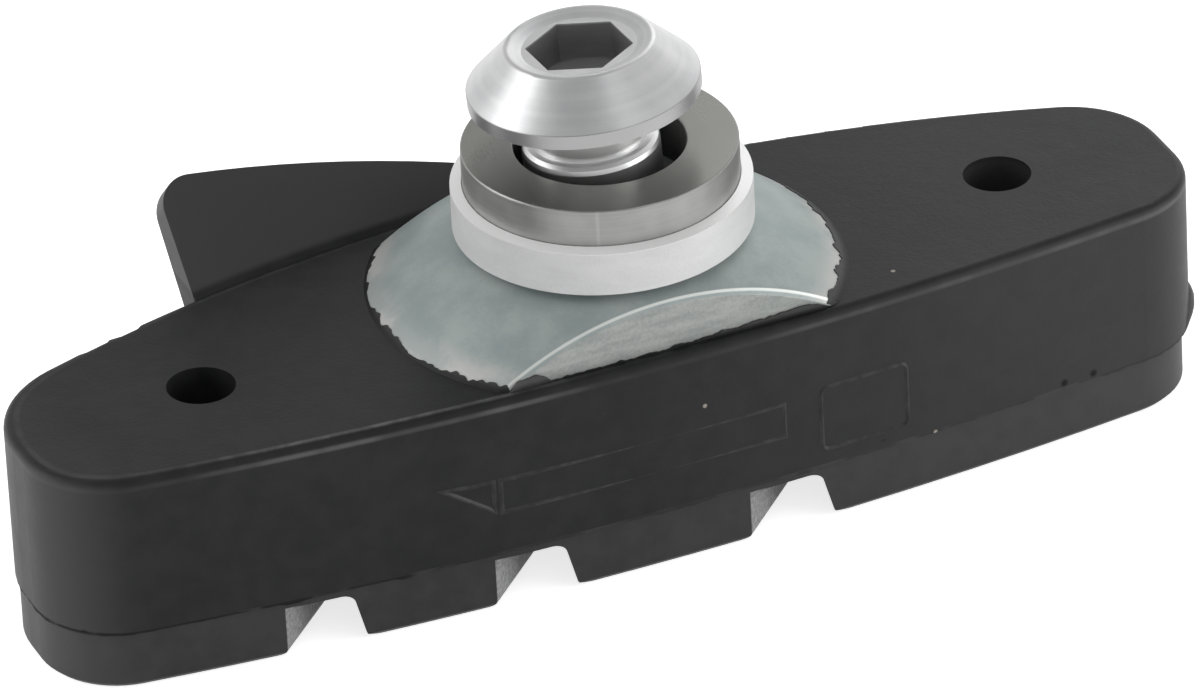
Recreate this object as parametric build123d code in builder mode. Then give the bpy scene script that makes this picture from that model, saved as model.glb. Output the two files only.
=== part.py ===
import os
from math import asin, cos, degrees, radians, sin, sqrt, tan

from build123d import *

# Bicycle rim brake pad, lying on its tread with the fixing screw upwards. Millimetres.
# Origin: on the tread face, straight below the boss. X runs along the pad, +Y towards the wheel guide fin.

# Rubber block in plan: two long arcs joined by short rounded ends
pad_length = 54.2
pad_shift = -0.82          # the pad's middle, from the boss axis
front_reach = 7.6          # boss axis to the front edge
back_reach = 8.4           # boss axis to the back edge
front_sag = 2.03           # how far the front edge falls back towards each end
back_sag = 5.58            # the same on the back edge, which is rounder
front_corner_radius = 4.0
back_left_radius = 5.4
back_right_radius = 4.4

# Rubber block in height
block_height = 10.4
tread_height = 2.95        # tread layer, below the mould's part line
tread_inset = 0.25         # step in from the upper body at the part line
tread_shift = -0.1         # the two halves of the mould do not quite meet
top_edge_radius = 0.4
tread_edge_bevel = 0.25

# Tread grooves, each with one steep wall and one sloping wall
groove_starts = (-18.4, -8.95, 2.95)   # where each steep wall meets the front edge
groove_angle = 45.0        # from the length of the pad
groove_depth = 2.4
groove_roof = 2.3          # width at the bottom of the cut
groove_mouth = 2.75        # width at the tread face
groove_corner_radius = 0.5
groove_lip_radius = 0.5    # where its walls meet the tread face

# Pin holes in the top, down to the stiffening plate
pin_hole_diameter = 3.0
pin_hole_spacing = 37.5
pin_hole_offset = -0.25    # the pair's middle, from the boss axis, along and across the pad

# Wheel guide fin
fin_slope = 45.0           # from level, leaning up and away from the pad
fin_root_thickness = 1.8
fin_tip_thickness = 1.0
fin_left = -16.55          # its square end
fin_height = 4.33          # along the slope, above the block's back edge at mid length
fin_edge_radius = 56.0     # its free edge falls to the pad in one long arc
fin_crest = -19.3          # where that arc is highest
fin_corner_radius = 1.5
fin_root_depth = 1.2       # how far its root runs into the block

# Metal insert
boss_radius = 10.4         # at the rubber's top face
dome_radius = 16.0
boss_half_width = 6.9      # to the flat cuts at the front and the back
boss_edge_bevel = 0.18
hub_depth = 3.0            # rubber over the stiffening plate
plate_length = 44.0
plate_width = 8.0
plate_thickness = 1.4
thread_hole_diameter = 6.0

# Washers
cup_diameter = 13.06
cup_height = 2.0           # bottom edge to the outer edge of the bevel
cup_bevel_height = 0.12
cup_recess_floor = 1.34    # above the bottom edge
washer_bore = 7.5
spacer_diameter = 12.0
spacer_height = 2.45
spacer_chamfer = 0.06
seat_gap = 0.03            # between one loose piece and the next
cup_edge_gap = 0.46        # the cup's outer edge stands this far off the dome

# Fixing screw
arm_gap = 2.35             # room left for the brake arm under the head
screw_length = 12.0        # under the head
neck_diameter = 5.0        # between the head and the shank
neck_length = 2.1
shank_diameter = 6.0
shank_round = 0.4          # on the shank's upper edge, in three flats
thread_diameter = 5.3      # plain core in place of the fine thread
thread_end_chamfer = 0.6
thread_start_gap = 0.5     # plain shank ends this far above the dome
head_diameter = 10.13
head_rim = 0.62            # straight band round the head's lower edge
head_height = 2.5          # seat to crest
crest_diameter = 6.35      # ring where the cone meets the dished top
crest_round = 0.25
dish_diameter = 5.0        # flat floor of the dished top
dish_depth = 0.28
socket_size = 4.05         # across flats
socket_depth = 1.7
socket_point_depth = 0.5   # drill point at the bottom of the socket
socket_turn = -28.5        # one corner of the socket, from +X
screw_lean = 3.7           # the slack screw leans in its thread
lean_heading = 136.0       # to this side, from +X

# Heights and places worked out from these
half_length = pad_length / 2
front_arc_radius = (half_length**2 + front_sag**2) / (2 * front_sag)
back_arc_radius = (half_length**2 + back_sag**2) / (2 * back_sag)
back_arc_axis = Axis((pad_shift, back_reach - back_arc_radius, 0), (0, 0, 1))
plate_top = block_height - hub_depth
plate_bottom = plate_top - plate_thickness
dome_centre = block_height - sqrt(dome_radius**2 - boss_radius**2)


def front_edge(x):
    """Y of the block's front edge at this place along the pad."""
    return front_arc_radius - front_reach - sqrt(front_arc_radius**2 - (x - pad_shift) ** 2)


def dome_height(radius):
    """Height of the dome at this distance from its axis."""
    return dome_centre + sqrt(dome_radius**2 - radius**2)


dome_rim = dome_height(thread_hole_diameter / 2)
cup_bottom = dome_height(cup_diameter / 2) + cup_edge_gap
spacer_bottom = cup_bottom + cup_recess_floor + seat_gap
spacer_top = spacer_bottom + spacer_height

# Plan of the rubber block
with BuildSketch() as pad_plan:
    with BuildLine():
        front_left = (pad_shift - half_length, front_sag - front_reach)
        front_right = (pad_shift + half_length, front_sag - front_reach)
        back_left = (pad_shift - half_length, back_reach - back_sag)
        back_right = (pad_shift + half_length, back_reach - back_sag)
        ThreePointArc(front_left, (pad_shift, -front_reach), front_right)
        Line(front_right, back_right)
        ThreePointArc(back_right, (pad_shift, back_reach), back_left)
        Line(back_left, front_left)
    make_face()
    for corner, radius in (
        (front_left, front_corner_radius),
        (front_right, front_corner_radius),
        (back_left, back_left_radius),
        (back_right, back_right_radius),
    ):
        fillet(pad_plan.vertices().sort_by_distance(corner)[0], radius)

# Metal insert: hub and dome cut flat on two sides, the stiffening plate below, and the tapped hole
with BuildPart() as backing_plate:
    with BuildSketch(Plane.XZ):
        with BuildLine():
            crown = (0, dome_centre + dome_radius)
            shoulder = (boss_radius, block_height)
            flank = (boss_radius / 2, dome_height(boss_radius / 2))
            Polyline(crown, (0, plate_top), (boss_radius, plate_top), shoulder)
            ThreePointArc(shoulder, flank, crown)
        make_face()
    revolve(axis=Axis.Z)
    with BuildSketch(Plane.XY.offset(plate_top)):
        Rectangle(2 * boss_radius, 2 * boss_half_width)
    extrude(amount=dome_radius, mode=Mode.INTERSECT)
    creases = backing_plate.edges().filter_by(GeomType.CIRCLE).filter_by(Plane.XZ)
    chamfer(creases, boss_edge_bevel)
    with BuildSketch(Plane.XY.offset(plate_bottom)):
        SlotOverall(plate_length, plate_width)
    extrude(amount=plate_thickness)
    Hole(thread_hole_diameter / 2)

# Wheel guide fin: a sloping flange that follows the back edge, trimmed to its wing outline
slope = radians(fin_slope)
fin_web = fin_root_thickness * tan(slope)
fin_right = fin_crest + sqrt(fin_edge_radius**2 - (fin_edge_radius - fin_height - fin_web) ** 2)
fin_plane = Plane((0, back_reach, block_height), x_dir=(1, 0, 0), z_dir=(0, -sin(slope), cos(slope)))


def fin_edge(x):
    """Height of the fin's free edge along its slope."""
    return fin_height - fin_edge_radius + sqrt(fin_edge_radius**2 - (x - fin_crest) ** 2)


with BuildPart() as guide_fin:
    right_angle = asin((fin_right - pad_shift) / back_arc_radius)
    left_angle = asin((pad_shift - fin_left) / back_arc_radius)
    outwards = Vector(sin(right_angle), cos(right_angle), 0)
    sideways = Vector(cos(right_angle), -sin(right_angle), 0)
    with BuildSketch(Plane(back_arc_axis.position, x_dir=outwards, z_dir=sideways)):
        root_drop = fin_root_thickness / cos(slope)
        fin_length = 2 * fin_height
        tip = (back_arc_radius + fin_length * cos(slope), block_height + fin_length * sin(slope))
        with BuildLine():
            Polyline(
                (back_arc_radius - fin_root_depth, block_height - fin_root_depth * tan(slope)),
                tip,
                (tip[0] + fin_tip_thickness * sin(slope), tip[1] - fin_tip_thickness * cos(slope)),
                (back_arc_radius, block_height - root_drop),
                (back_arc_radius - fin_root_depth, block_height - root_drop),
                close=True,
            )
        make_face()
    revolve(axis=back_arc_axis, revolution_arc=degrees(left_angle + right_angle))
    with BuildSketch(fin_plane) as wing:
        low = -2 * fin_height
        middle = (fin_left + fin_right) / 2
        with BuildLine():
            Polyline(
                (fin_right, fin_edge(fin_right)),
                (fin_right, low),
                (fin_left, low),
                (fin_left, fin_edge(fin_left)),
            )
            ThreePointArc(
                (fin_left, fin_edge(fin_left)), (middle, fin_edge(middle)), (fin_right, fin_edge(fin_right))
            )
        make_face()
        fillet(wing.vertices().sort_by(Axis.Y)[-1], fin_corner_radius)
    extrude(amount=2 * fin_height, both=True, mode=Mode.INTERSECT)

# Rubber block: upper body, tread layer with its grooves, fin and pin holes, moulded round the insert
with BuildPart() as brake_block:
    with BuildSketch(Plane.XY.offset(tread_height)):
        add(pad_plan.sketch)
    extrude(amount=block_height - tread_height)
    fillet(brake_block.edges().group_by(Axis.Z)[-1], top_edge_radius)
    with BuildSketch():
        with Locations((tread_shift, 0)):
            add(pad_plan.sketch)
        offset(amount=-tread_inset)
    extrude(amount=tread_height)
    chamfer(brake_block.edges().group_by(Axis.Z)[0], tread_edge_bevel)
    turn = radians(groove_angle)
    for start in groove_starts:
        across = (sin(turn), -cos(turn), 0)
        along = (-cos(turn), -sin(turn), 0)
        with BuildSketch(Plane((start, front_edge(start), 0), x_dir=across, z_dir=along)) as groove:
            Polygon((0, 0), (groove_mouth, 0), (groove_roof, groove_depth), (0, groove_depth), align=None)
            with Locations((groove_mouth / 2, -groove_depth / 2)):
                Rectangle(groove_mouth + 4 * groove_lip_radius, groove_depth)
            lips = groove.vertices().group_by(Axis.Y)[1].sort_by(Axis.X)[1:3]
            fillet(lips, groove_lip_radius)
            fillet(groove.vertices().group_by(Axis.Y)[-1], groove_corner_radius)
        extrude(amount=pad_length, both=True, mode=Mode.SUBTRACT)
    add(guide_fin.part)
    with Locations((pin_hole_offset, pin_hole_offset, block_height)):
        with GridLocations(pin_hole_spacing, 0, 2, 1):
            Hole(pin_hole_diameter / 2, depth=hub_depth)
    add(backing_plate.part, mode=Mode.SUBTRACT)
    with Locations((0, 0, block_height)):
        Hole(thread_hole_diameter / 2, depth=block_height - plate_bottom)

# Cup washer: concave underneath to sit on the dome, with a shallow cup on top
with BuildPart() as cup_washer:
    bore = washer_bore / 2
    rim = cup_diameter / 2
    recess = spacer_diameter / 2 + seat_gap
    halfway = (bore + rim) / 2
    with BuildSketch(Plane.XZ):
        with BuildLine():
            Polyline(
                (rim, cup_bottom),
                (rim, cup_bottom + cup_height),
                (recess, cup_bottom + cup_height + cup_bevel_height),
                (recess, cup_bottom + cup_recess_floor),
                (bore, cup_bottom + cup_recess_floor),
                (bore, dome_height(bore) + seat_gap),
            )
            seat_middle = (halfway, dome_height(halfway) + (seat_gap + cup_edge_gap) / 2)
            ThreePointArc((bore, dome_height(bore) + seat_gap), seat_middle, (rim, cup_bottom))
        make_face()
    revolve(axis=Axis.Z)

# Spacer washer, standing in the cup
with BuildPart() as spacer_washer:
    with BuildSketch(Plane.XY.offset(spacer_bottom)):
        Circle(spacer_diameter / 2)
        Circle(washer_bore / 2, mode=Mode.SUBTRACT)
    extrude(amount=spacer_height)
    chamfer(spacer_washer.edges().group_by(Axis.Z)[-1], spacer_chamfer)

# Fixing screw, on an axis that leans about the middle of the thread's hold
head_seat = spacer_top + arm_gap
screw_tip = head_seat - screw_length
pivot = (dome_rim + screw_tip) / 2
lean_axis = Vector(0, 0, 1).rotate(Axis.Y, screw_lean).rotate(Axis.Z, lean_heading)
screw_plane = Plane((0, 0, pivot), x_dir=(1, 0, -lean_axis.X / lean_axis.Z), z_dir=lean_axis)
profile_plane = Plane((0, 0, pivot), x_dir=screw_plane.x_dir, z_dir=-screw_plane.y_dir)
screw_axis = Axis((0, 0, pivot), lean_axis)
with BuildPart() as fixing_screw:
    under_head = head_seat - pivot
    head_top = under_head + head_height
    dish_floor = head_top - dish_depth
    thread_start = dome_rim + thread_start_gap - pivot
    shank_top = under_head - neck_length
    shank_edge = []
    for angle in (0, 30, 60, 90):
        inwards = shank_round * (1 - cos(radians(angle)))
        downwards = shank_round * (1 - sin(radians(angle)))
        shank_edge.append((shank_diameter / 2 - inwards, shank_top - downwards))
    with BuildSketch(profile_plane) as screw_profile:
        with BuildLine():
            thread = thread_diameter / 2
            shank = shank_diameter / 2
            neck = neck_diameter / 2
            head = head_diameter / 2
            Polyline(
                (0, dish_floor),
                (0, screw_tip - pivot),
                (thread - thread_end_chamfer, screw_tip - pivot),
                (thread, screw_tip - pivot + thread_end_chamfer),
                (thread, thread_start),
                (shank, thread_start + shank - thread),
                *shank_edge,
                (neck, shank_top),
                (neck, under_head),
                (head, under_head),
                (head, under_head + head_rim),
                (crest_diameter / 2, head_top),
                (dish_diameter / 2, dish_floor),
                close=True,
            )
        make_face()
        fillet(screw_profile.vertices().group_by(Axis.Y)[-1], crest_round)
    revolve(axis=screw_axis)
    with BuildSketch(screw_plane.offset(dish_floor)):
        RegularPolygon(socket_size / 2, 6, major_radius=False, rotation=socket_turn)
    extrude(amount=-socket_depth, mode=Mode.SUBTRACT)
    with BuildSketch(profile_plane):
        floor = dish_floor - socket_depth
        Polygon((0, floor), (0, floor - socket_point_depth), (socket_size / 2, floor), align=None)
    revolve(axis=screw_axis, mode=Mode.SUBTRACT)

os.makedirs("parts", exist_ok=True)
brake_block.part.label = "brake_block"
export_step(brake_block.part, "parts/brake_block.step")
backing_plate.part.label = "backing_plate"
export_step(backing_plate.part, "parts/backing_plate.step")
cup_washer.part.label = "cup_washer"
export_step(cup_washer.part, "parts/cup_washer.step")
spacer_washer.part.label = "spacer_washer"
export_step(spacer_washer.part, "parts/spacer_washer.step")
fixing_screw.part.label = "fixing_screw"
export_step(fixing_screw.part, "parts/fixing_screw.step")
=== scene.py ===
# %% [markdown]
# # A bicycle rim brake pad
#
# The pad lies on its grooved tread, with its fixing screw upwards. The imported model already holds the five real
# pieces: the rubber block, the metal insert that is moulded into it, a cup washer, a spacer washer and the screw.
# This lesson sets up the studio, gives each piece its finish, and adds what is too fine for the solids: the thin
# rubber flash that a mould leaves, and the raised frames on the side of the block.

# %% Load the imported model
from math import cos, pi, radians, sin, sqrt

import bmesh
import bpy
from mathutils import Matrix, Vector, noise


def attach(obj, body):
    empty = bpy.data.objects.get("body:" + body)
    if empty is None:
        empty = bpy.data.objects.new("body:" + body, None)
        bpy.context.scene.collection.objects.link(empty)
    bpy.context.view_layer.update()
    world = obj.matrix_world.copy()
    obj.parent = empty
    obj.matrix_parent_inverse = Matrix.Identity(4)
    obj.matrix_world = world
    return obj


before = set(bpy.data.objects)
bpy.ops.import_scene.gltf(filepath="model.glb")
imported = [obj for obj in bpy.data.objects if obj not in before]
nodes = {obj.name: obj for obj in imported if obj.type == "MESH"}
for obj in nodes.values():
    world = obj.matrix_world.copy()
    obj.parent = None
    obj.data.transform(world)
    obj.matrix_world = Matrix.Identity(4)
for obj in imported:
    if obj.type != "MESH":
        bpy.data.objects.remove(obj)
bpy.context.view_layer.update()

mm = 0.001
print("pieces in the model:", sorted(nodes))

# %% [markdown]
# ## The camera
#
# The photograph looks down on the pad from its front left, from far away, so that its long edges hardly converge.
# The camera could be turned by eye until the render fits. Here its yaw, height, roll and distance come from a fit
# to the washer rims and the long edges, so the camera is placed from those numbers: first three directions, then
# the point of the pad that lies in the middle of the picture.

# %% Place the camera
view_yaw = radians(22.217)
view_height = radians(31.337)
view_roll = radians(2.994)
view_distance = 550.874 * mm
pixels_per_mm = 23.205
photo_width = 1200
sensor_width = 36.0
block_height = 10.4
aim_left, aim_below = 0.2746, 3.0177

to_camera = Vector((-sin(view_yaw) * cos(view_height), -cos(view_yaw) * cos(view_height), sin(view_height)))
level_right = Vector((cos(view_yaw), -sin(view_yaw), 0))
level_up = to_camera.cross(level_right)
picture_right = level_right * cos(view_roll) - level_up * sin(view_roll)
picture_up = level_right * sin(view_roll) + level_up * cos(view_roll)
block_top = Vector((0, 0, block_height * mm))
aim = block_top - picture_right * aim_left * mm - picture_up * aim_below * mm

lens = bpy.data.cameras.new("photo_camera")
lens.sensor_width = sensor_width
lens.lens = pixels_per_mm * view_distance / mm / photo_width * sensor_width
camera = bpy.data.objects.new("photo_camera", lens)
bpy.context.scene.collection.objects.link(camera)
facing = Matrix((picture_right, picture_up, to_camera)).transposed().to_4x4()
camera.matrix_world = Matrix.Translation(aim + to_camera * view_distance) @ facing
bpy.context.scene.camera = camera
bpy.context.scene.view_settings.view_transform = "Standard"
print("lens", round(lens.lens, 1), "mm, camera at", [round(v, 3) for v in camera.location])

# %% [markdown]
# ## Shader maths as plain expressions
#
# A finish is worked out from the place on the surface, with many small sums. Wiring each sum by hand hides what it
# means. So one small class stands for an output socket: adding or multiplying two of them adds the Math node, and
# one method makes any other node, with its settings first and its sockets after them.

# %% A socket that can be reckoned with
class Tone:
    """An output socket of a node tree. Arithmetic on it adds Math nodes."""

    def __init__(self, tree, socket=None):
        self.tree = tree
        self.socket = socket

    def make(self, kind, settings, sockets, out=0):
        """Add a node: its settings first, then the values or links of its sockets."""
        node = self.tree.nodes.new(kind)
        for name, value in settings.items():
            if name == "stops":
                ramp = node.color_ramp.elements
                while len(ramp) < len(value):
                    ramp.new(1.0)
                for stop, (position, colour) in zip(ramp, value):
                    stop.position = position
                    stop.color = colour
            else:
                setattr(node, name, value)
        self.wire(node, sockets)
        return Tone(self.tree, node.outputs[out])

    def wire(self, node, sockets):
        """Set a node's sockets to plain values, or link them."""
        for name, value in sockets.items():
            if isinstance(value, Tone):
                self.tree.links.new(value.socket, node.inputs[name])
            else:
                node.inputs[name].default_value = value

    def other(self, out):
        """Another output of the same node."""
        return Tone(self.tree, self.socket.node.outputs[out])

    def math(self, operation, *values):
        """A Math node with this socket first and these values after it."""
        sockets = dict(enumerate((self,) + values))
        return self.make("ShaderNodeMath", {"operation": operation}, sockets)

    def __add__(self, value):
        return self.math("ADD", value)

    def __sub__(self, value):
        return self.math("SUBTRACT", value)

    def __mul__(self, value):
        return self.math("MULTIPLY", value)

    def __rsub__(self, value):
        return self.make("ShaderNodeMath", {"operation": "SUBTRACT"}, {0: value, 1: self})

    def __gt__(self, value):
        return self.math("GREATER_THAN", value)

    def __lt__(self, value):
        return self.math("LESS_THAN", value)

    def __abs__(self):
        return self.math("ABSOLUTE")

    __radd__ = __add__
    __rmul__ = __mul__

    def fade(self, full, none):
        """1 where the value is full, 0 where it is none, and a smooth step between."""
        low, high, at_low, at_high = (full, none, 1.0, 0.0) if full < none else (none, full, 0.0, 1.0)
        sockets = {"Value": self, "From Min": low, "From Max": high, "To Min": at_low, "To Max": at_high}
        return self.make("ShaderNodeMapRange", {"interpolation_type": "SMOOTHSTEP"}, sockets)

    def axes(self):
        """The three numbers of a vector."""
        first = self.make("ShaderNodeSeparateXYZ", {}, {0: self})
        return first, first.other(1), first.other(2)

    def noise(self, scale, detail=3.0, roughness=0.5):
        """Cloudy noise, with this many features to the millimetre."""
        sockets = {"Vector": self, "Scale": scale, "Detail": detail, "Roughness": roughness}
        return self.make("ShaderNodeTexNoise", {}, sockets)

    def stretch(self, x, y, z):
        """The same place on a scale of its own along each axis."""
        return self.make("ShaderNodeMapping", {}, {"Vector": self, "Scale": (x, y, z)})

    def blend(self, first, second):
        """From the first colour, where this mask is 0, to the second, where it is 1."""
        return self.make("ShaderNodeMix", {"data_type": "RGBA"}, {0: self, 6: first, 7: second}, 2)

    def bump(self, depth):
        """The surface normal over a height of this many millimetres."""
        sockets = {"Strength": 1.0, "Distance": depth * mm, "Height": self}
        return self.make("ShaderNodeBump", {}, sockets, "Normal")


def grey(level, warm=0.0):
    """A grey of this brightness, a little warmer or, below zero, cooler."""
    return (level * (1 + warm), level, level * (1 - warm), 1.0)


print("a middle grey is written as", grey(0.5))


# %% Starting and ending a finish
def new_finish(name):
    """A new material, and the place on its surface in millimetres."""
    material = bpy.data.materials.new(name)
    material.use_nodes = True
    start = Tone(material.node_tree)
    place = start.make("ShaderNodeTexCoord", {}, {}, "Object")
    return material, place.stretch(1 / mm, 1 / mm, 1 / mm)


def from_axis(x, y):
    """How far a spot lies from an axis, across it."""
    return (x * x + y * y).math("SQRT")


def shade(material, sockets):
    """Set or link the sockets of a material's shader."""
    shader = material.node_tree.nodes["Principled BSDF"]
    Tone(material.node_tree).wire(shader, sockets)
    print("finish:", material.name, "with", len(material.node_tree.nodes), "nodes")


def dress(piece, material):
    """Make this the only finish of a piece."""
    piece.data.materials.clear()
    piece.data.materials.append(material)


print("finishes to make for", len(nodes), "pieces")

# %% [markdown]
# ## Floor and light
#
# The photograph is a studio picture on white. A white floor that is only lit comes out pale grey, and more light
# would wash out the object. So the floor's own colour is kept, and a little glow is added for what the camera, and
# the polished metal, see of it. The object's shadow still shows on it. The light is soft and stronger on the right:
# the sky is brighter on that side. A low box on each side lights the two ends of the pad, and one behind it sheens
# its top. A small box on the left is the white band on the screw's head, and one on the right the paler band
# beside it.

# %% A white floor
floor_size = 4.0
floor_drop = 0.01
camera_glow, mirror_glow = 0.75, 0.5
bpy.ops.object.select_all(action="DESELECT")
bpy.ops.mesh.primitive_plane_add(size=floor_size, location=(0, 0, -floor_drop * mm))
floor = bpy.context.object
floor.name = "floor"
bpy.ops.object.transform_apply(location=True, rotation=True, scale=True)
white = bpy.data.materials.new("white_floor")
white.use_nodes = True
white.node_tree.nodes.clear()
start = Tone(white.node_tree)
by_camera = start.make("ShaderNodeLightPath", {}, {}, "Is Camera Ray")
by_mirror = by_camera.other("Is Glossy Ray")
seen = by_camera * camera_glow + by_mirror * mirror_glow
paint = start.make("ShaderNodeBsdfDiffuse", {}, {"Color": grey(0.8)})
glow = start.make("ShaderNodeEmission", {}, {"Color": grey(1.0), "Strength": seen})
both = start.make("ShaderNodeAddShader", {}, {0: paint, 1: glow})
start.wire(white.node_tree.nodes.new("ShaderNodeOutputMaterial"), {"Surface": both})
dress(floor, white)
print("floor at", round(floor.data.vertices[0].co.z / mm, 3), "mm")

# %% Soft boxes
camera_side = Vector((to_camera.x, to_camera.y, 0)).normalized()


def soft_box(name, right, near, up, size, distance, power):
    """A square lamp that faces the pad, placed by directions as the camera sees them."""
    lamp = bpy.data.lights.new(name, "AREA")
    lamp.size = size
    lamp.energy = power
    box = bpy.data.objects.new(name, lamp)
    bpy.context.scene.collection.objects.link(box)
    way = (level_right * right + camera_side * near + Vector((0, 0, up))).normalized()
    facing = way.to_track_quat("Z", "Y").to_matrix().to_4x4()
    box.matrix_world = Matrix.Translation(way * distance) @ facing
    print(name, "at", [round(v, 2) for v in box.location])


soft_box("left_soft_box", right=-0.75, near=-0.05, up=0.66, size=0.22, distance=0.6, power=0.36)
soft_box("right_soft_box", right=0.42, near=0.36, up=0.83, size=0.2, distance=0.6, power=0.1)
soft_box("low_left_box", right=-0.93, near=0.0, up=0.26, size=0.14, distance=0.22, power=0.13)
soft_box("low_right_box", right=0.93, near=0.2, up=0.22, size=0.14, distance=0.22, power=0.19)
soft_box("back_soft_box", right=0.32, near=-0.78, up=0.52, size=0.15, distance=0.27, power=0.1)

# %% A pale sky
sky_stops = ((0.0, grey(0.95)), (0.12, grey(0.95)), (0.5, grey(0.62)), (1.0, grey(0.45)))
right_gain = 0.08
sky = bpy.data.worlds.new("pale_sky")
bpy.context.scene.world = sky
sky.use_nodes = True
start = Tone(sky.node_tree)
way = start.make("ShaderNodeTexCoord", {}, {}, "Generated")
height = way.axes()[2]
aside = way.make("ShaderNodeVectorMath", {"operation": "DOT_PRODUCT"}, {0: way, 1: level_right}, "Value")
colour = start.make("ShaderNodeValToRGB", {"stops": sky_stops}, {0: height})
start.wire(sky.node_tree.nodes["Background"], {"Color": colour, "Strength": 1 + aside * right_gain})
print("sky with", len(sky_stops), "stops")

# %% [markdown]
# ## Moulded black rubber
#
# The block is one moulding in dull black rubber. Up close it has a fine grain, a slow change of tone where the
# mould was warmer or cooler, a paler tread layer and a few specks of dust. Some light and shade is painted on too:
# pale highlight lines along the rounded front edge, a dark painted shade with small dark marks in the part line,
# lighter steep walls in the grooves, and a lighter tone towards the right end and at the left end. Painted maps
# would need the block to be unwrapped. Noise that reads the place in the block needs no unwrapping, and the pad's
# own plan, two long arcs and two ends, tells how far each spot is from the edge.

# %% Where the edges of the block are
pad_length = 54.2
pad_middle = -0.82
front_reach, front_sag = 7.6, 2.03
back_reach, back_sag = 8.4, 5.58
corner_blend = 6.0


def arc_radius(sag):
    """Radius of an arc as long as the pad, with this much sag."""
    return ((pad_length / 2) ** 2 + sag**2) / (2 * sag)


front_radius, back_radius = arc_radius(front_sag), arc_radius(back_sag)


def edge_distance(x, y):
    """How far a spot lies inside the edge of the pad, seen from above."""
    along = x - pad_middle
    ends = pad_length / 2 - abs(along)
    to_front = front_radius - from_axis(along, y - (front_radius - front_reach))
    to_back = back_radius - from_axis(along, y - (back_reach - back_radius))
    return to_front.math("SMOOTH_MIN", ends, corner_blend).math("SMOOTH_MIN", to_back, corner_blend)


def front_edge(x):
    """Y of the block's front edge at this place along the pad."""
    return front_radius - front_reach - sqrt(front_radius**2 - (x - pad_middle) ** 2)


print("front arc", round(front_radius, 1), "mm, back arc", round(back_radius, 1), "mm")

# %% Where the grooves are
groove_starts = (-18.4, -8.95, 2.95)
groove_turn = radians(45.0)
groove_depth = 2.4
wall_margin = 0.03
wall_light_full, wall_light_none = 0.1, 0.7


def steep_walls(x, y, z):
    """1 on the steep wall of each groove in the tread, which gets the painted light."""
    total = 0.0
    for begin in groove_starts:
        across = (x - begin) * sin(groove_turn) - (y - front_edge(begin)) * cos(groove_turn)
        total = total + (across > -wall_margin) * across.fade(wall_light_full, wall_light_none)
    return total * (z < groove_depth + wall_margin)


print(len(groove_starts), "grooves,", groove_depth, "mm deep")

# %% Grain and painted edge highlights
# In each fade, the first number is where the effect is full and the second where it has gone, in millimetres.
edge_round = 0.4
line_full, line_none = 0.03, 0.18
rubber, place = new_finish("moulded_rubber")
x, y, z = place.axes()
grain = place.noise(5.5, 4.0, 0.6)
mottle = place.noise(0.9, 3.0, 0.55)
cloud = place.noise(0.12, 2.0)
streaks = place.stretch(0.35, 0.1, 0.1).noise(1.0, 2.0)
edge = edge_distance(x, y)
on_top = z.fade(block_height - 0.02, block_height - 0.08)
# Painted highlight: two pale lines along the rounded front edge, at the top and at the foot of its round, where it
# catches the light, strongest on the left and the right parts.
low_line = abs(z - (block_height - edge_round)).fade(line_full, line_none) * edge.fade(0.05, 0.14)
high_line = abs(edge - edge_round).fade(line_full, line_none) * on_top * x.fade(-9.0, 3.0)
highlight_left_part = x.fade(-8.0, -3.0) * x.fade(-17.0, -23.0)
highlight_right_part = x.fade(9.0, 3.0)
front_side = 0.2 + 0.8 * y.fade(-3.0, -1.0) * (highlight_left_part + 0.8 * highlight_right_part)
low_edge_highlight = low_line * (0.45 + 0.55 * streaks.fade(0.6, 0.4))
high_edge_highlight = high_line * (0.5 + 0.5 * mottle.fade(0.6, 0.4))
painted_edge_highlight = (low_edge_highlight + high_edge_highlight) * front_side
print("grain and wear:", len(rubber.node_tree.nodes), "nodes")

# %% Painted seam shade, painted groove-wall light and dust
tread_height = 2.95
seam_depth = 0.14
pit_height = 0.15
dust_specks = ((1.13, -7.59, 7.56), (12.08, -7.15, 2.82), (11.05, -5.55, 10.4))
line_nicks = ((18.53, -6.57, 3.13), (20.0, -6.41, 3.12))


def spots(place, centres, full, none):
    """1 at each of these places, 0 beyond a distance from all of them."""
    total = 0.0
    for centre in centres:
        near = place.make("ShaderNodeVectorMath", {"operation": "DISTANCE"}, {0: place, 1: centre}, "Value")
        total = total + near.fade(full, none)
    return total


# Painted shade: a dark line in the part line under the block's step, in patches, stronger towards the left end.
blotches = place.noise(0.5, 3.0).fade(0.52, 0.36) * (0.5 + 0.5 * x.fade(-16.0, -4.0))
painted_seam_shade = abs(z - (tread_height - seam_depth)).fade(0.06, 0.2) * blotches * (z < tread_height + 0.01)
cells = place.make("ShaderNodeTexVoronoi", {}, {"Vector": place, "Scale": 0.8})
some_cells = cells.other("Color").axes()[0] > 0.6
pits = cells.fade(0.08, 0.2) * abs(z - tread_height - pit_height).fade(0.1, 0.25) * some_cells
# Painted light: a lighter grey on the steep wall of each groove, the wall that faces the light.
painted_wall_light = steep_walls(x, y, z) * (0.55 + 0.45 * grain.fade(0.7, 0.35))
sides = z.fade(block_height - 0.3, block_height - 0.05)
# Painted light: a lighter tone towards the right end and at the left end, more on the sides than on the top.
painted_end_light = (x.fade(27.0, -8.0) * 0.34 + x.fade(-27.4, -24.0) * 0.55) * (0.25 + 0.75 * sides)
speck = spots(place, dust_specks, 0.06, 0.13)
nicks = spots(place, line_nicks, 0.08, 0.26)
print("dirt:", len(dust_specks), "specks and", len(line_nicks), "nicks")

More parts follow.
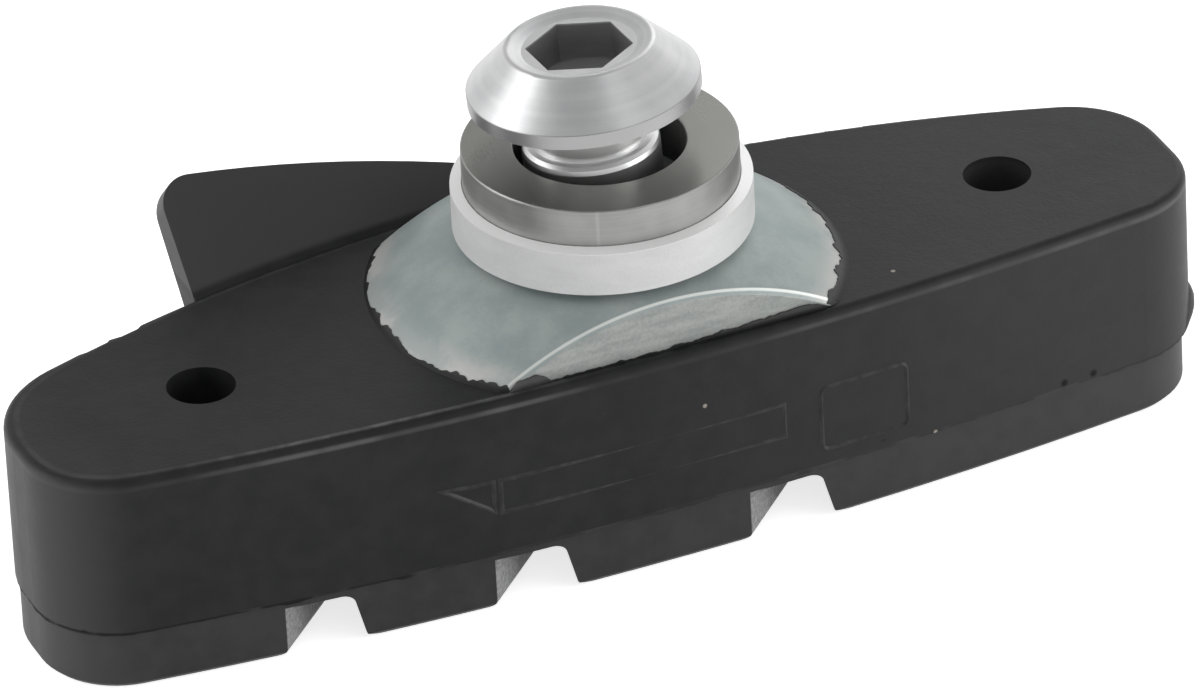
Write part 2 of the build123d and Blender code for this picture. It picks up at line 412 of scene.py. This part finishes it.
# %% Rubber
tread = z.fade(tread_height - 0.02, tread_height + 0.02)
fin = z.fade(block_height + 0.3, block_height + 0.05)
tone = (mottle * 0.55 + cloud * 0.45).fade(0.68, 0.34)
seam_shade_and_marks = (painted_seam_shade * 0.85 + pits * 0.8 + nicks * 0.85).math("MINIMUM", 1.0)
# The edge highlight, the lighter ends and the lighter groove walls are painted light; the part line's dark is
# painted shade.
layers = (
    (tread * (0.6 + 0.4 * tone), grey(0.045)),
    (fin * 0.85, grey(0.06)),
    (painted_end_light, grey(0.08)),
    (painted_wall_light, grey(0.36)),
    (painted_edge_highlight * 0.7, grey(0.13)),
    (seam_shade_and_marks, grey(0.004)),
    (speck * 0.7, grey(0.42, 0.12)),
)
colour = tone.blend(grey(0.011, -0.03), grey(0.019, -0.01))
for mask, layer_colour in layers:
    colour = mask.blend(colour, layer_colour)
shade(rubber, {
    "Base Color": colour,
    "Roughness": 0.38 + mottle * 0.16 - painted_edge_highlight * 0.08 + (painted_seam_shade + nicks) * 0.3,
    "Specular IOR Level": 0.2,
    "Normal": (grain * 0.6 + mottle).bump(0.014),
})
dress(nodes["brake_block"], rubber)

# %% [markdown]
# ## Dull zinc on the insert
#
# The insert is a steel stamping, plated with dull zinc. Its dome is a soft, cloudy grey-green. The flat cut across
# its front was made after that, so it is paler, the crease between dome and cut is rubbed bright, and so is the
# dome's rim in places. The flat lies at a known distance from the axis, so one mask finds it and another finds its
# bevel.

# %% Zinc
flat_reach = 6.9
flat_bevel = 0.18
boss_radius = 10.4
dome_dark, dome_pale = (0.275, 0.325, 0.322, 1), (0.36, 0.402, 0.392, 1)
flat_dark, flat_pale = (0.29, 0.31, 0.3, 1), (0.4, 0.415, 0.4, 1)
rim_pale, crease_bright = (0.56, 0.55, 0.53, 1), (0.82, 0.83, 0.80, 1)
zinc, place = new_finish("dull_zinc")
x, y, z = place.axes()
patches = place.noise(0.5, 4.0, 0.55)
speckle = place.noise(7.0, 3.0, 0.6)
scuffs = place.stretch(0.5, 1.0, 2.5).noise(1.0, 3.0)
flat = abs(y).fade(flat_reach - 0.01, flat_reach - 0.04)
bevel = abs(y).fade(flat_reach - flat_bevel + 0.02, flat_reach - flat_bevel - 0.02)
crease = bevel * abs(y).fade(flat_reach - 0.12, flat_reach - 0.08) * (z > block_height)
fringe = from_axis(x, y).fade(boss_radius - 0.1, boss_radius - 1.3)
dome_colour = (patches * 0.8 + speckle * 0.2).fade(0.68, 0.34).blend(dome_dark, dome_pale)
dome_colour = (fringe * (0.35 + 0.5 * patches.fade(0.6, 0.4))).blend(dome_colour, rim_pale)
flat_colour = (scuffs * 0.6 + speckle * 0.4).fade(0.66, 0.34).blend(flat_dark, flat_pale)
colour = flat.blend(dome_colour, flat_colour)
shade(zinc, {
    "Base Color": (crease * 0.6).blend(colour, crease_bright),
    "Metallic": 0.35,
    "Roughness": 0.46 + patches * 0.14 - crease * 0.12,
    "Normal": (patches * 0.4 + speckle * 0.6).bump(0.01),
})
dress(nodes["backing_plate"], zinc)

# %% [markdown]
# ## Matt aluminium, polished steel and satin steel
#
# The cup washer is pale matt aluminium with a brighter rim. The spacer washer is turned steel, so smooth on top
# that it mirrors the screw; its top is also painted a darker grey, a painted shade for the screw's dark reflection.
# The screw is satin steel with fine rings from the lathe, with a painted highlight on its shank, darker on the
# straight rim of its head, duller in the dish and darkest in the socket. All three are round, so their marks depend
# only on the distance from an axis and on the height along it. The screw leans a little, so a Mapping node first
# turns the place into the screw's own axes.

# %% Aluminium
cup_edge = 15.308
aluminium, place = new_finish("matt_aluminium")
x, y, z = place.axes()
powder = place.noise(9.0, 3.0, 0.6)
smear = place.stretch(0.4, 0.4, 1.2).noise(1.0, 2.0)
rim = z.fade(cup_edge + 0.01, cup_edge - 0.05)
colour = (powder * 0.4 + smear * 0.6).fade(0.68, 0.32).blend(grey(0.66), grey(0.73))
shade(aluminium, {
    "Base Color": (rim * 0.8).blend(colour, grey(0.92)),
    "Metallic": 0.25,
    "Roughness": 0.5 - rim * 0.12 + powder * 0.08,
    "Normal": powder.bump(0.006),
})
dress(nodes["cup_washer"], aluminium)

# %% Polished steel
spacer_top = 17.128
wall_dark, wall_pale = (0.31, 0.31, 0.303, 1), (0.38, 0.38, 0.37, 1)
# Painted shade: the top's darker grey stands for the screw head's dark reflection in it.
top_painted_shade = (0.26, 0.26, 0.245, 1)
streak_turn = radians(22.217)
streak_left = 0.27


def lathe_rings(radius, height, scale):
    """Fine rings round an axis, on faces across it and on faces along it."""
    spot = radius.make("ShaderNodeCombineXYZ", {}, {0: radius, 1: height})
    return spot.noise(scale, 2.0)


polished, place = new_finish("polished_steel")
x, y, z = place.axes()
rings = lathe_rings(from_axis(x, y), z, 7.0)
film = place.noise(0.5, 3.0)
top = z.fade(spacer_top - 0.01, spacer_top - 0.04)
across = x * cos(streak_turn) - y * sin(streak_turn)
at_front = x * sin(streak_turn) + y * cos(streak_turn) < 0
streak = abs(across + streak_left).fade(0.03, 0.12) * at_front * (1 - top)
colour = (rings * 0.3 + film * 0.7).fade(0.66, 0.34).blend(wall_dark, wall_pale)
colour = top.blend(colour, top_painted_shade)
shade(polished, {
    "Base Color": (streak * 0.15).blend(colour, grey(0.7)),
    "Metallic": 1.0,
    "Roughness": 0.4 - top * 0.22 + film * 0.1 + rings * 0.05,
    "Normal": rings.bump(0.0015),
})
dress(nodes["spacer_washer"], polished)

# %% Satin steel
screw_pivot = Vector((0, 0, 10.718))
screw_lean, lean_heading = radians(3.7), radians(136.0)
screw_axis = Vector((sin(screw_lean) * cos(lean_heading), sin(screw_lean) * sin(lean_heading), cos(screw_lean)))
upright = screw_axis.rotation_difference(Vector((0, 0, 1)))
dish_floor = 10.98
socket_reach = 2.36
shank_reach = 3.05
head_seat = 19.478 - screw_pivot.z
head_reach = 5.065
crest_reach = 3.175
satin, place = new_finish("satin_steel")
turned = {"Vector": place, "Rotation": upright.to_euler(), "Location": -(upright @ screw_pivot)}
own_place = place.make("ShaderNodeMapping", {}, turned)
x, y, z = own_place.axes()
radius = from_axis(x, y)
rings = lathe_rings(radius, z, 6.0)
film = own_place.noise(0.6, 3.0)
# Painted highlight: a paler grey on the shank below the head, for the bright band that it reflects.
shank_highlight = radius.fade(shank_reach, shank_reach + 0.1) * z.fade(head_seat - 0.1, head_seat)
rim = radius.fade(head_reach - 0.015, head_reach - 0.05)
dish = radius.fade(crest_reach - 0.1, crest_reach + 0.15) * z.fade(dish_floor - 0.05, dish_floor - 0.15)
socket = radius.fade(socket_reach, socket_reach + 0.06) * z.fade(dish_floor - 0.12, dish_floor - 0.02)
colour = (rings * 0.4 + film * 0.6).fade(0.66, 0.34).blend(grey(0.57, -0.01), grey(0.65))
colour = shank_highlight.blend(colour, grey(0.78))
colour = rim.blend(colour, grey(0.4))
shade(satin, {
    "Base Color": (socket * 0.5).blend(colour, grey(0.06, 0.05)),
    "Metallic": 1.0,
    "Roughness": 0.31 + film * 0.08 + rings * 0.04 + socket * 0.15 + dish * 0.14,
    "Normal": rings.bump(0.0015),
})
dress(nodes["fixing_screw"], satin)

# %% [markdown]
# ## Modelling by hand, in code
#
# In a window, a modeller picks some points, moves them, and adds modifiers. The same steps are written here as
# small helpers: one makes a piece the only selected object, one picks points by their place, one gives points a
# weight, and one adds a modifier and applies it at once. A torn rubber edge is a straight one whose weight has
# noise in it.

# %% Helpers for modelling
smooth_below = 40


def work_on(piece, mode="OBJECT"):
    """Make a piece the only one selected, in this mode."""
    if bpy.context.object and bpy.context.object.mode != "OBJECT":
        bpy.ops.object.mode_set(mode="OBJECT")
    bpy.ops.object.select_all(action="DESELECT")
    piece.select_set(True)
    bpy.context.view_layer.objects.active = piece
    bpy.ops.object.mode_set(mode=mode)


def started(name):
    """The primitive that was just added, by its new name, with its place in its mesh."""
    piece = bpy.context.object
    piece.name = name
    piece.data.name = name
    bpy.ops.object.transform_apply(location=True, rotation=True, scale=True)
    return piece


def pick(piece, test):
    """In edit mode, select the points whose place passes a test, in millimetres."""
    bpy.ops.mesh.select_mode(type="VERT")
    bpy.ops.mesh.select_all(action="DESELECT")
    shape = bmesh.from_edit_mesh(piece.data)
    for point in shape.verts:
        point.select = bool(test(point.co / mm))
    shape.select_flush_mode()
    bmesh.update_edit_mesh(piece.data)


def weigh(piece, name, weight):
    """A group of points, with the weight that each place gets."""
    work_on(piece)
    group = piece.vertex_groups.new(name=name)
    for point in piece.data.vertices:
        group.add([point.index], max(0.0, min(1.0, weight(point.co / mm))), "REPLACE")


def modify(piece, kind, **settings):
    """Add a modifier and apply it."""
    work_on(piece)
    modifier = piece.modifiers.new(kind.lower(), kind)
    for name, value in settings.items():
        setattr(modifier, name, value)
    bpy.ops.object.modifier_apply(modifier=modifier.name)


def shift(piece, direction, distance, group=""):
    """Move the points by this many millimetres, each as far as its weight in the group says."""
    modify(piece, "DISPLACE", direction=direction, strength=distance * mm, mid_level=0.0, vertex_group=group)


def complete(piece, material):
    """Give a piece its finish and the body that it rides on."""
    work_on(piece)
    bpy.ops.object.shade_smooth_by_angle(angle=radians(smooth_below))
    dress(piece, material)
    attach(piece, "root")
    print(piece.name, "has", len(piece.data.polygons), "faces")


print("edges that turn by less than", smooth_below, "degrees are shaded smooth")

# %% [markdown]
# ## The rubber lip on the dome
#
# When the insert is moulded in, a thin film of rubber creeps up the edge of the dome and tears off unevenly. It
# could be painted on as a dark mask, but then its edge would have no thickness. So it is modelled: a ring of points
# is extruded into several rows, and a weight draws the rows in from the rubber towards the dome, further on the
# right than on the left, with noise in it that scallops the edge. A Shrinkwrap modifier then drops them on the
# dome, the first row is sunk into the rubber, and the film gets its thickness.

# %% Rows of points and torn edges
row_gap = 0.01


def add_rows(count, gap):
    """In edit mode, extrude the selected line into more rows, each this far above the one before."""
    for row in range(count):
        bpy.ops.mesh.extrude_region()
        bpy.ops.transform.translate(value=(0, 0, gap * mm))
    bpy.ops.mesh.select_all(action="SELECT")
    bpy.ops.mesh.normals_make_consistent(inside=False)


def torn(spot, *waves):
    """How far a torn edge strays at a place: noise, in waves of a height and a size in millimetres."""
    return sum(height * noise.noise(spot / size) for height, size in waves)


print("rows start", row_gap, "mm apart")

# %% Rows of points round the dome
lip_radius = boss_radius - 0.02
lip_points = 900
lip_rows = 6
start_height = 13.0
lip_most, lip_least = 0.8, 0.03
lip_mean, lip_more_right, lip_more_front = 0.24, 0.16, 0.06
lip_waves = ((0.3, 0.9), (0.14, 0.3))
bpy.ops.object.select_all(action="DESELECT")
bpy.ops.mesh.primitive_circle_add(vertices=lip_points, radius=lip_radius * mm, location=(0, 0, start_height * mm))
lip = started("boss_flash")
work_on(lip, "EDIT")
bpy.ops.mesh.select_all(action="SELECT")
add_rows(lip_rows, row_gap)


def lip_row(p):
    """0 on the first row, at the rubber, and 1 on the last, on the dome."""
    return (p.z - start_height) / (lip_rows * row_gap)


def lip_width(p):
    """How far the film reaches up the dome: most at the right front, least on the left, and scalloped."""
    slope = lip_mean + lip_more_right * p.x / lip_radius - lip_more_front * p.y / lip_radius
    return max(lip_least, slope + torn(Vector((p.x, p.y, 0)), *lip_waves))


weigh(lip, "reach", lambda p: lip_row(p) * lip_width(p) / lip_most)
print("lip:", len(lip.data.vertices), "points in", lip_rows + 1, "rows")

# %% Lip torn and laid on the dome
lip_thickness = 0.05
lip_foot = boss_radius + 0.04
lip_sink = 0.06
flat_clear = 0.03
sunk_height = block_height - 0.1
missed_dome = start_height - 0.5
same_radius = 0.002
on_plane = 1e-7
shift(lip, "NORMAL", -lip_most, "reach")
work_on(lip, "EDIT")
for side in (-1, 1):
    bpy.ops.mesh.select_all(action="SELECT")
    bpy.ops.mesh.bisect(plane_co=(0, side * (flat_reach - flat_clear) * mm, 0), plane_no=(0, side, 0),
                        clear_outer=True, threshold=on_plane)
modify(lip, "SHRINKWRAP", target=nodes["backing_plate"], wrap_method="PROJECT", use_project_z=True,
       use_positive_direction=False, use_negative_direction=True)
work_on(lip, "EDIT")
pick(lip, lambda p: p.z > missed_dome)
bpy.ops.transform.resize(value=(1, 1, 0), center_override=(0, 0, sunk_height * mm))
pick(lip, lambda p: abs(sqrt(p.x**2 + p.y**2) - lip_radius) < same_radius)
spread = lip_foot / lip_radius
bpy.ops.transform.resize(value=(spread, spread, 1), center_override=(0, 0, 0))
bpy.ops.transform.translate(value=(0, 0, -lip_sink * mm))
modify(lip, "SOLIDIFY", thickness=lip_thickness * mm, offset=1)
complete(lip, rubber)

# %% [markdown]
# ## Rubber on the flats
#
# The same film stands along the foot of the two flat cuts. In the photograph it is a lump at the left corner,
# almost nothing after it, and then climbs towards the right. A fine grid is stood up against the flat, its top edge
# is lifted by a weight that follows that outline, and then torn. The film on the back flat is a copy, turned round.

# %% Outline of the film
film_outline = (
    (-7.6, 0.0), (-7.2, 0.4), (-6.3, 0.5), (-5.6, 0.04), (-3.0, 0.04),
    (-0.6, 0.06), (2.2, 0.17), (6.4, 0.4), (7.6, 0.0),
)
film_coarse, film_fine = (0.1, 0.7), (0.06, 0.25)
film_apart = 1.25


def film_height(x):
    """Height of the film's torn edge above the rubber, between the points of its outline."""
    ragged = torn(Vector((x, 0, 0)), film_coarse) + torn(Vector((x, film_apart, 0)), film_fine)
    for (x0, h0), (x1, h1) in zip(film_outline, film_outline[1:]):
        if x <= x1:
            return h0 + (h1 - h0) * max(0.0, x - x0) / (x1 - x0) + ragged
    return 0.0


print("film", round(film_height(-6.6), 2), "mm high in its lump,", round(film_height(-4.2), 2), "mm after it")

# %% Film along the foot of each flat
film_most = 0.7
film_length = 15.2
film_columns, film_rows = 260, 5
film_thickness = 0.1
film_strip = 0.2
film_sink = 0.02
film_middle = block_height - film_sink - film_strip / 2
film_place = (0, -(flat_reach + 0.01) * mm, film_middle * mm)
bpy.ops.object.select_all(action="DESELECT")
bpy.ops.mesh.primitive_grid_add(x_subdivisions=film_columns, y_subdivisions=film_rows, size=film_length * mm,
                                location=film_place, rotation=(pi / 2, 0, 0))
front_film = started("flat_flash_front")
work_on(front_film, "EDIT")
bpy.ops.mesh.select_all(action="SELECT")
bpy.ops.transform.resize(value=(1, 1, film_strip / film_length), center_override=(0, 0, film_middle * mm))


def film_climb(p):
    """How far a point of the strip is lifted, from nothing along its foot to most along its top."""
    row = (p.z - film_middle) / film_strip + 0.5
    return row * (film_height(p.x) + film_sink)


weigh(front_film, "climb", lambda p: film_climb(p) / film_most)
shift(front_film, "Z", film_most, "climb")
modify(front_film, "SOLIDIFY", thickness=film_thickness * mm, offset=1)
bpy.ops.object.duplicate()
back_film = started("flat_flash_back")
work_on(back_film, "EDIT")
bpy.ops.mesh.select_all(action="SELECT")
bpy.ops.transform.rotate(value=pi, orient_axis="Z", center_override=(0, 0, 0))
for film_piece in (front_film, back_film):
    complete(film_piece, rubber)

# %% [markdown]
# ## Flash in the part line
#
# The mould closes along a line above the tread, where the block steps in a little, and a ragged hem of rubber hangs
# in that step. Its line is the outline of the block itself, so a copy of the block is cut at that height and only
# the cut is kept. Long edges are halved until all are short, the outline is extruded downwards, its lower edge is
# torn, and the hem gets its thickness inwards. At the right end a flap of it is squeezed up along the block: there
# the upper rows are lifted and the middle ones bulge out, a little past the block.

# %% Outline of the block above the tread
hem_top = tread_height + 0.04
same_point, close_points = 0.0005, 0.02
longest_edge = 0.18
halvings = 8
work_on(nodes["brake_block"])
bpy.ops.object.duplicate()
hem = started("part_line_flash")
for key in list(hem.keys()):
    del hem[key]
hem.parent = None
work_on(hem, "EDIT")
bpy.ops.mesh.select_all(action="SELECT")
bpy.ops.mesh.remove_doubles(threshold=same_point * mm)
bpy.ops.mesh.bisect(plane_co=(0, 0, hem_top * mm), plane_no=(0, 0, 1), clear_inner=True, clear_outer=True,
                    threshold=on_plane)
bpy.ops.mesh.select_all(action="SELECT")
bpy.ops.mesh.remove_doubles(threshold=close_points * mm)
bpy.ops.mesh.select_mode(type="EDGE")
for halving in range(halvings):
    bpy.ops.mesh.select_all(action="DESELECT")
    outline = bmesh.from_edit_mesh(hem.data)
    for line in outline.edges:
        line.select = line.calc_length() > longest_edge * mm
    bmesh.update_edit_mesh(hem.data)
    if any(line.select for line in outline.edges):
        bpy.ops.mesh.subdivide(number_cuts=1)
print("outline:", len(outline.verts), "points")

# %% Rows of the hem and its flap
hem_rows = 5
hem_most, hem_least, hem_mean = 0.5, 0.05, 0.13
hem_waves = ((0.14, 1.7), (0.1, 0.4))
flap_place = Vector((25.85, -3.3, 0))
flap_reach = 2.0
bpy.ops.mesh.select_mode(type="VERT")
bpy.ops.mesh.select_all(action="SELECT")
add_rows(hem_rows, -row_gap)
hem.update_from_editmode()
if sum(face.normal.dot(face.center) for face in hem.data.polygons) < 0:
    bpy.ops.mesh.flip_normals()


def hem_row(p):
    """0 on the first row, along the top of the hem, and 1 on the last."""
    return (hem_top - p.z) / (hem_rows * row_gap)


def hem_drop(p):
    """How far the torn edge hangs down, from 0 on the first row to most on the last."""
    return max(hem_least, hem_mean + torn(p, *hem_waves)) * hem_row(p)


def flap(p):
    """1 in the middle of the flap at the right end, falling softly to 0 round it."""
    near = max(0.0, 1 - (Vector((p.x, p.y, 0)) - flap_place).length / flap_reach)
    return near * near * (3 - 2 * near)


weigh(hem, "drop", lambda p: hem_drop(p) / hem_most)
weigh(hem, "rise", lambda p: flap(p) * (1 - hem_row(p)))
weigh(hem, "bulge", lambda p: flap(p) * sin(pi * hem_row(p)))
print("hem:", len(hem.data.vertices), "points in", hem_rows + 1, "rows")

# %% Hem torn and thickened
hem_inset = 0.02
hem_thickness = 0.3
flap_rise = 1.6
flap_bulge = 0.31
shift(hem, "NORMAL", -hem_inset)
shift(hem, "NORMAL", flap_bulge, "bulge")
modify(hem, "SOLIDIFY", thickness=hem_thickness * mm, offset=-1)
shift(hem, "Z", -hem_most, "drop")
shift(hem, "Z", flap_rise, "rise")
complete(hem, rubber)

# %% [markdown]
# ## Raised frames on the side
#
# The front of the block carries raised frames: an arrow that shows the way the wheel turns, a long plain panel
# behind it and a plain rounded box. Each starts as a flat outline in front of the block. Its border is inset twice
# and the middle is deleted, which leaves a frame with a line along its middle. A Shrinkwrap modifier lays it on the
# curved front, its borders are sunk a little and the line is lifted to a ridge. The front is nearest to the viewer
# at its middle, so there the ridges are lower. The ridges are painted paler than the block, a painted highlight
# for the light that they catch.

# %% Rubber with a painted highlight
painted_ridge_highlight, place = new_finish("ridge_highlight_rubber")
# Painted highlight: a paler rubber, so that the ridges read as catching the light.
sheen = place.noise(1.6, 3.0, 0.6)
shade(painted_ridge_highlight, {
    "Base Color": sheen.fade(0.66, 0.36).blend(grey(0.02), grey(0.042)),
    "Roughness": 0.36 + sheen * 0.14,
    "Specular IOR Level": 0.25,
    "Normal": sheen.bump(0.012),
})

# %% Helpers that raise a frame
outline_y = -9.0
ridge_width = 0.3
ridge_height = 0.08
ridge_sink = 0.03
ridge_thickness = 0.1
lowest_share, full_from_middle = 0.28, 8.0


def flat_start(name, x0, x1, z0, z1):
    """A flat rectangle in front of the block, between these places, ready for edit mode."""
    bpy.ops.object.select_all(action="DESELECT")
    middle = ((x0 + x1) / 2 * mm, outline_y * mm, (z0 + z1) / 2 * mm)
    bpy.ops.mesh.primitive_plane_add(size=mm, location=middle, rotation=(pi / 2, 0, 0))
    piece = started(name)
    work_on(piece, "EDIT")
    bpy.ops.mesh.select_all(action="SELECT")
    bpy.ops.transform.resize(value=(x1 - x0, 1, z1 - z0), center_override=middle)
    return piece


def cut_frame(piece, cuts):
    """Cut the middle out of a flat outline, weigh the line along the middle of its border, and divide it."""
    bpy.ops.mesh.select_all(action="SELECT")
    bpy.ops.mesh.inset(thickness=ridge_width / 2 * mm)
    bpy.ops.mesh.inset(thickness=ridge_width / 2 * mm)
    bpy.ops.mesh.delete(type="FACE")
    bpy.ops.mesh.select_all(action="SELECT")
    bpy.ops.mesh.normals_make_consistent(inside=False)
    piece.update_from_editmode()
    if sum(face.normal.y for face in piece.data.polygons) > 0:
        bpy.ops.mesh.flip_normals()
    border = {tuple(point.co / mm) for point in bmesh.from_edit_mesh(piece.data).verts if point.is_boundary}
    weigh(piece, "ridge", lambda p: tuple(p) not in border)
    work_on(piece, "EDIT")
    bpy.ops.mesh.select_all(action="SELECT")
    bpy.ops.mesh.subdivide(number_cuts=cuts)
    work_on(piece)


def raise_frame(piece, cuts):
    """Lay a frame on the block and lift the line along its middle."""
    cut_frame(piece, cuts)
    ridge = piece.vertex_groups["ridge"]
    for point in piece.data.vertices:
        share = min(1.0, lowest_share + ((point.co.x / mm - pad_middle) / full_from_middle) ** 2)
        ridge.add([point.index], sum(part.weight for part in point.groups) * share, "REPLACE")
    modify(piece, "SHRINKWRAP", target=nodes["brake_block"], wrap_method="PROJECT", use_project_y=True,
           use_positive_direction=True, use_negative_direction=False)
    shift(piece, "Y", ridge_sink)
    shift(piece, "Y", -(ridge_height + ridge_sink), "ridge")
    modify(piece, "SOLIDIFY", thickness=ridge_thickness * mm, offset=-1)
    complete(piece, painted_ridge_highlight)


print("ridges", ridge_width, "mm wide and up to", ridge_height, "mm high")

# %% Arrow and panel
panel_left, panel_right, panel_low, panel_high = -8.55, 5.0, 4.75, 6.64
panel_middle = (panel_low + panel_high) / 2
tip_left, tip_height = -11.45, 6.74
arrow_gap = 0.02
panel = flat_start("side_panel_frame", panel_left, panel_right, panel_low, panel_high)
raise_frame(panel, cuts=19)
arrow = flat_start("side_arrow_frame", tip_left, panel_left - arrow_gap, panel_low, panel_high)
pick(arrow, lambda p: p.x < tip_left + 0.1)
bpy.ops.mesh.merge(type="CENTER")
bpy.ops.transform.translate(value=(0, 0, (tip_height - panel_middle) * mm))
raise_frame(arrow, cuts=7)

# %% Rounded box
box_left, box_right, box_low, box_high = 6.45, 10.9, 3.5, 6.9
box_corner, corner_steps = 0.45, 6
rounded_box = flat_start("side_box_frame", box_left, box_right, box_low, box_high)
bpy.ops.mesh.bevel(offset=box_corner * mm, offset_type="OFFSET", segments=corner_steps, affect="VERTICES")
raise_frame(rounded_box, cuts=5)
